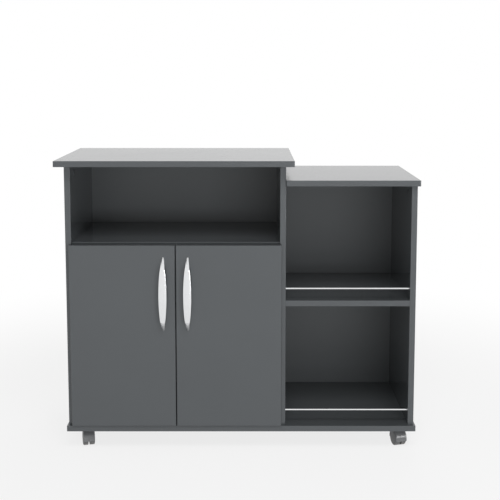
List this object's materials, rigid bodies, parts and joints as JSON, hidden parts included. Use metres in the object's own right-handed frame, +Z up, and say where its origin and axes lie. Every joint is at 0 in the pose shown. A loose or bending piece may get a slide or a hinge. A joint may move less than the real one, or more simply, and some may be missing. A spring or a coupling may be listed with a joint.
{
  "type": "microwave cart",
  "caption": "Kitchen cart on swivel castors: raised worktop over an open compartment and a cupboard, beside a lower worktop over open bays with guard rails.",
  "frame": {"origin": "on the floor, under the middle of the cart's overall length and depth", "axes": "+X to the right seen from the front, +Y to the rear, +Z up"},
  "size_m": [0.915, 0.4045, 0.751],
  "materials": {
    "board": "charcoal grey melamine, satin",
    "back_board": "charcoal grey hardboard, matt",
    "satin_chrome": "satin chrome",
    "cap": "matt cover caps",
    "hinge_steel": "nickel-plated pressed steel",
    "zinc": "zinc-plated steel and die-cast",
    "hood_plastic": "grey moulded nylon",
    "wheel_plastic": "dark grey moulded nylon"
  },
  "bodies": {
    "carcass": {"top_left": "board", "top_right": "board", "side_left": "board", "divider": "board", "side_right": "board", "base_panel": "board", "compartment_floor": "board", "cupboard_shelf": "board", "bay_shelf": "board", "back_left": "back_board", "back_right": "back_board", "guard_rail_upper": "satin_chrome", "guard_rail_lower": "satin_chrome", "shelf_pins": "zinc", "hinge_arm_left_upper": "hinge_steel", "hinge_arm_left_lower": "hinge_steel", "hinge_arm_right_upper": "hinge_steel", "hinge_arm_right_lower": "hinge_steel", "hinge_plates": "zinc", "plate_screws": "zinc", "cam_locks": "zinc", "cam_bolts": "hinge_steel", "cam_caps": "cap", "base_screws": "zinc", "castor_plates": "hinge_steel", "kingpins": "zinc", "castor_screws": "hinge_steel"},
    "left_door": {"door_left": "board", "handle_left": "satin_chrome", "handle_screws_left": "zinc", "hinge_cup_left_upper": "hinge_steel", "hinge_cup_left_lower": "hinge_steel", "hinge_pins_left": "zinc", "cup_screws_left": "zinc"},
    "right_door": {"door_right": "board", "handle_right": "satin_chrome", "handle_screws_right": "zinc", "hinge_cup_right_upper": "hinge_steel", "hinge_cup_right_lower": "hinge_steel", "hinge_pins_right": "zinc", "cup_screws_right": "zinc"},
    "castor_front_left": {"hood_front_left": "hood_plastic", "axle_front_left": "zinc"},
    "castor_front_right": {"hood_front_right": "hood_plastic", "axle_front_right": "zinc"},
    "castor_rear_left": {"hood_rear_left": "hood_plastic", "axle_rear_left": "zinc"},
    "castor_rear_right": {"hood_rear_right": "hood_plastic", "axle_rear_right": "zinc"},
    "roller_front_left_a": {"wheel_front_left_a": "wheel_plastic"},
    "roller_front_left_b": {"wheel_front_left_b": "wheel_plastic"},
    "roller_front_right_a": {"wheel_front_right_a": "wheel_plastic"},
    "roller_front_right_b": {"wheel_front_right_b": "wheel_plastic"},
    "roller_rear_left_a": {"wheel_rear_left_a": "wheel_plastic"},
    "roller_rear_left_b": {"wheel_rear_left_b": "wheel_plastic"},
    "roller_rear_right_a": {"wheel_rear_right_a": "wheel_plastic"},
    "roller_rear_right_b": {"wheel_rear_right_b": "wheel_plastic"}
  },
  "joints": [
    {"name": "left_door_hinge", "type": "hinge", "parent": "carcass", "child": "left_door", "pos_m": [-0.42, -0.16875, 0.3015], "axis": [0, 0, -1], "range_deg": [0, 95]},
    {"name": "right_door_hinge", "type": "hinge", "parent": "carcass", "child": "right_door", "pos_m": [0.103, -0.16875, 0.3015], "axis": [0, 0, 1], "range_deg": [0, 95]},
    {"name": "castor_front_left_swivel", "type": "hinge", "parent": "carcass", "child": "castor_front_left", "pos_m": [-0.398, -0.10975, 0.04], "axis": [0, 0, 1], "continuous": true},
    {"name": "castor_front_right_swivel", "type": "hinge", "parent": "carcass", "child": "castor_front_right", "pos_m": [0.412, -0.10975, 0.04], "axis": [0, 0, 1], "continuous": true},
    {"name": "castor_rear_left_swivel", "type": "hinge", "parent": "carcass", "child": "castor_rear_left", "pos_m": [-0.398, 0.14225, 0.04], "axis": [0, 0, 1], "continuous": true},
    {"name": "castor_rear_right_swivel", "type": "hinge", "parent": "carcass", "child": "castor_rear_right", "pos_m": [0.412, 0.14225, 0.04], "axis": [0, 0, 1], "continuous": true},
    {"name": "wheel_front_left_a_spin", "type": "hinge", "parent": "castor_front_left", "child": "roller_front_left_a", "pos_m": [-0.39282, -0.12907, 0.02], "axis": [0.9659, 0.2588, 0], "continuous": true},
    {"name": "wheel_front_left_b_spin", "type": "hinge", "parent": "castor_front_left", "child": "roller_front_left_b", "pos_m": [-0.39282, -0.12907, 0.02], "axis": [0.9659, 0.2588, 0], "continuous": true},
    {"name": "wheel_front_right_a_spin", "type": "hinge", "parent": "castor_front_right", "child": "roller_front_right_a", "pos_m": [0.41718, -0.12907, 0.02], "axis": [0.9659, 0.2588, 0], "continuous": true},
    {"name": "wheel_front_right_b_spin", "type": "hinge", "parent": "castor_front_right", "child": "roller_front_right_b", "pos_m": [0.41718, -0.12907, 0.02], "axis": [0.9659, 0.2588, 0], "continuous": true},
    {"name": "wheel_rear_left_a_spin", "type": "hinge", "parent": "castor_rear_left", "child": "roller_rear_left_a", "pos_m": [-0.39282, 0.12293, 0.02], "axis": [0.9659, 0.2588, 0], "continuous": true},
    {"name": "wheel_rear_left_b_spin", "type": "hinge", "parent": "castor_rear_left", "child": "roller_rear_left_b", "pos_m": [-0.39282, 0.12293, 0.02], "axis": [0.9659, 0.2588, 0], "continuous": true},
    {"name": "wheel_rear_right_a_spin", "type": "hinge", "parent": "castor_rear_right", "child": "roller_rear_right_a", "pos_m": [0.41718, 0.12293, 0.02], "axis": [0.9659, 0.2588, 0], "continuous": true},
    {"name": "wheel_rear_right_b_spin", "type": "hinge", "parent": "castor_rear_right", "child": "roller_rear_right_b", "pos_m": [0.41718, 0.12293, 0.02], "axis": [0.9659, 0.2588, 0], "continuous": true}
  ]
}
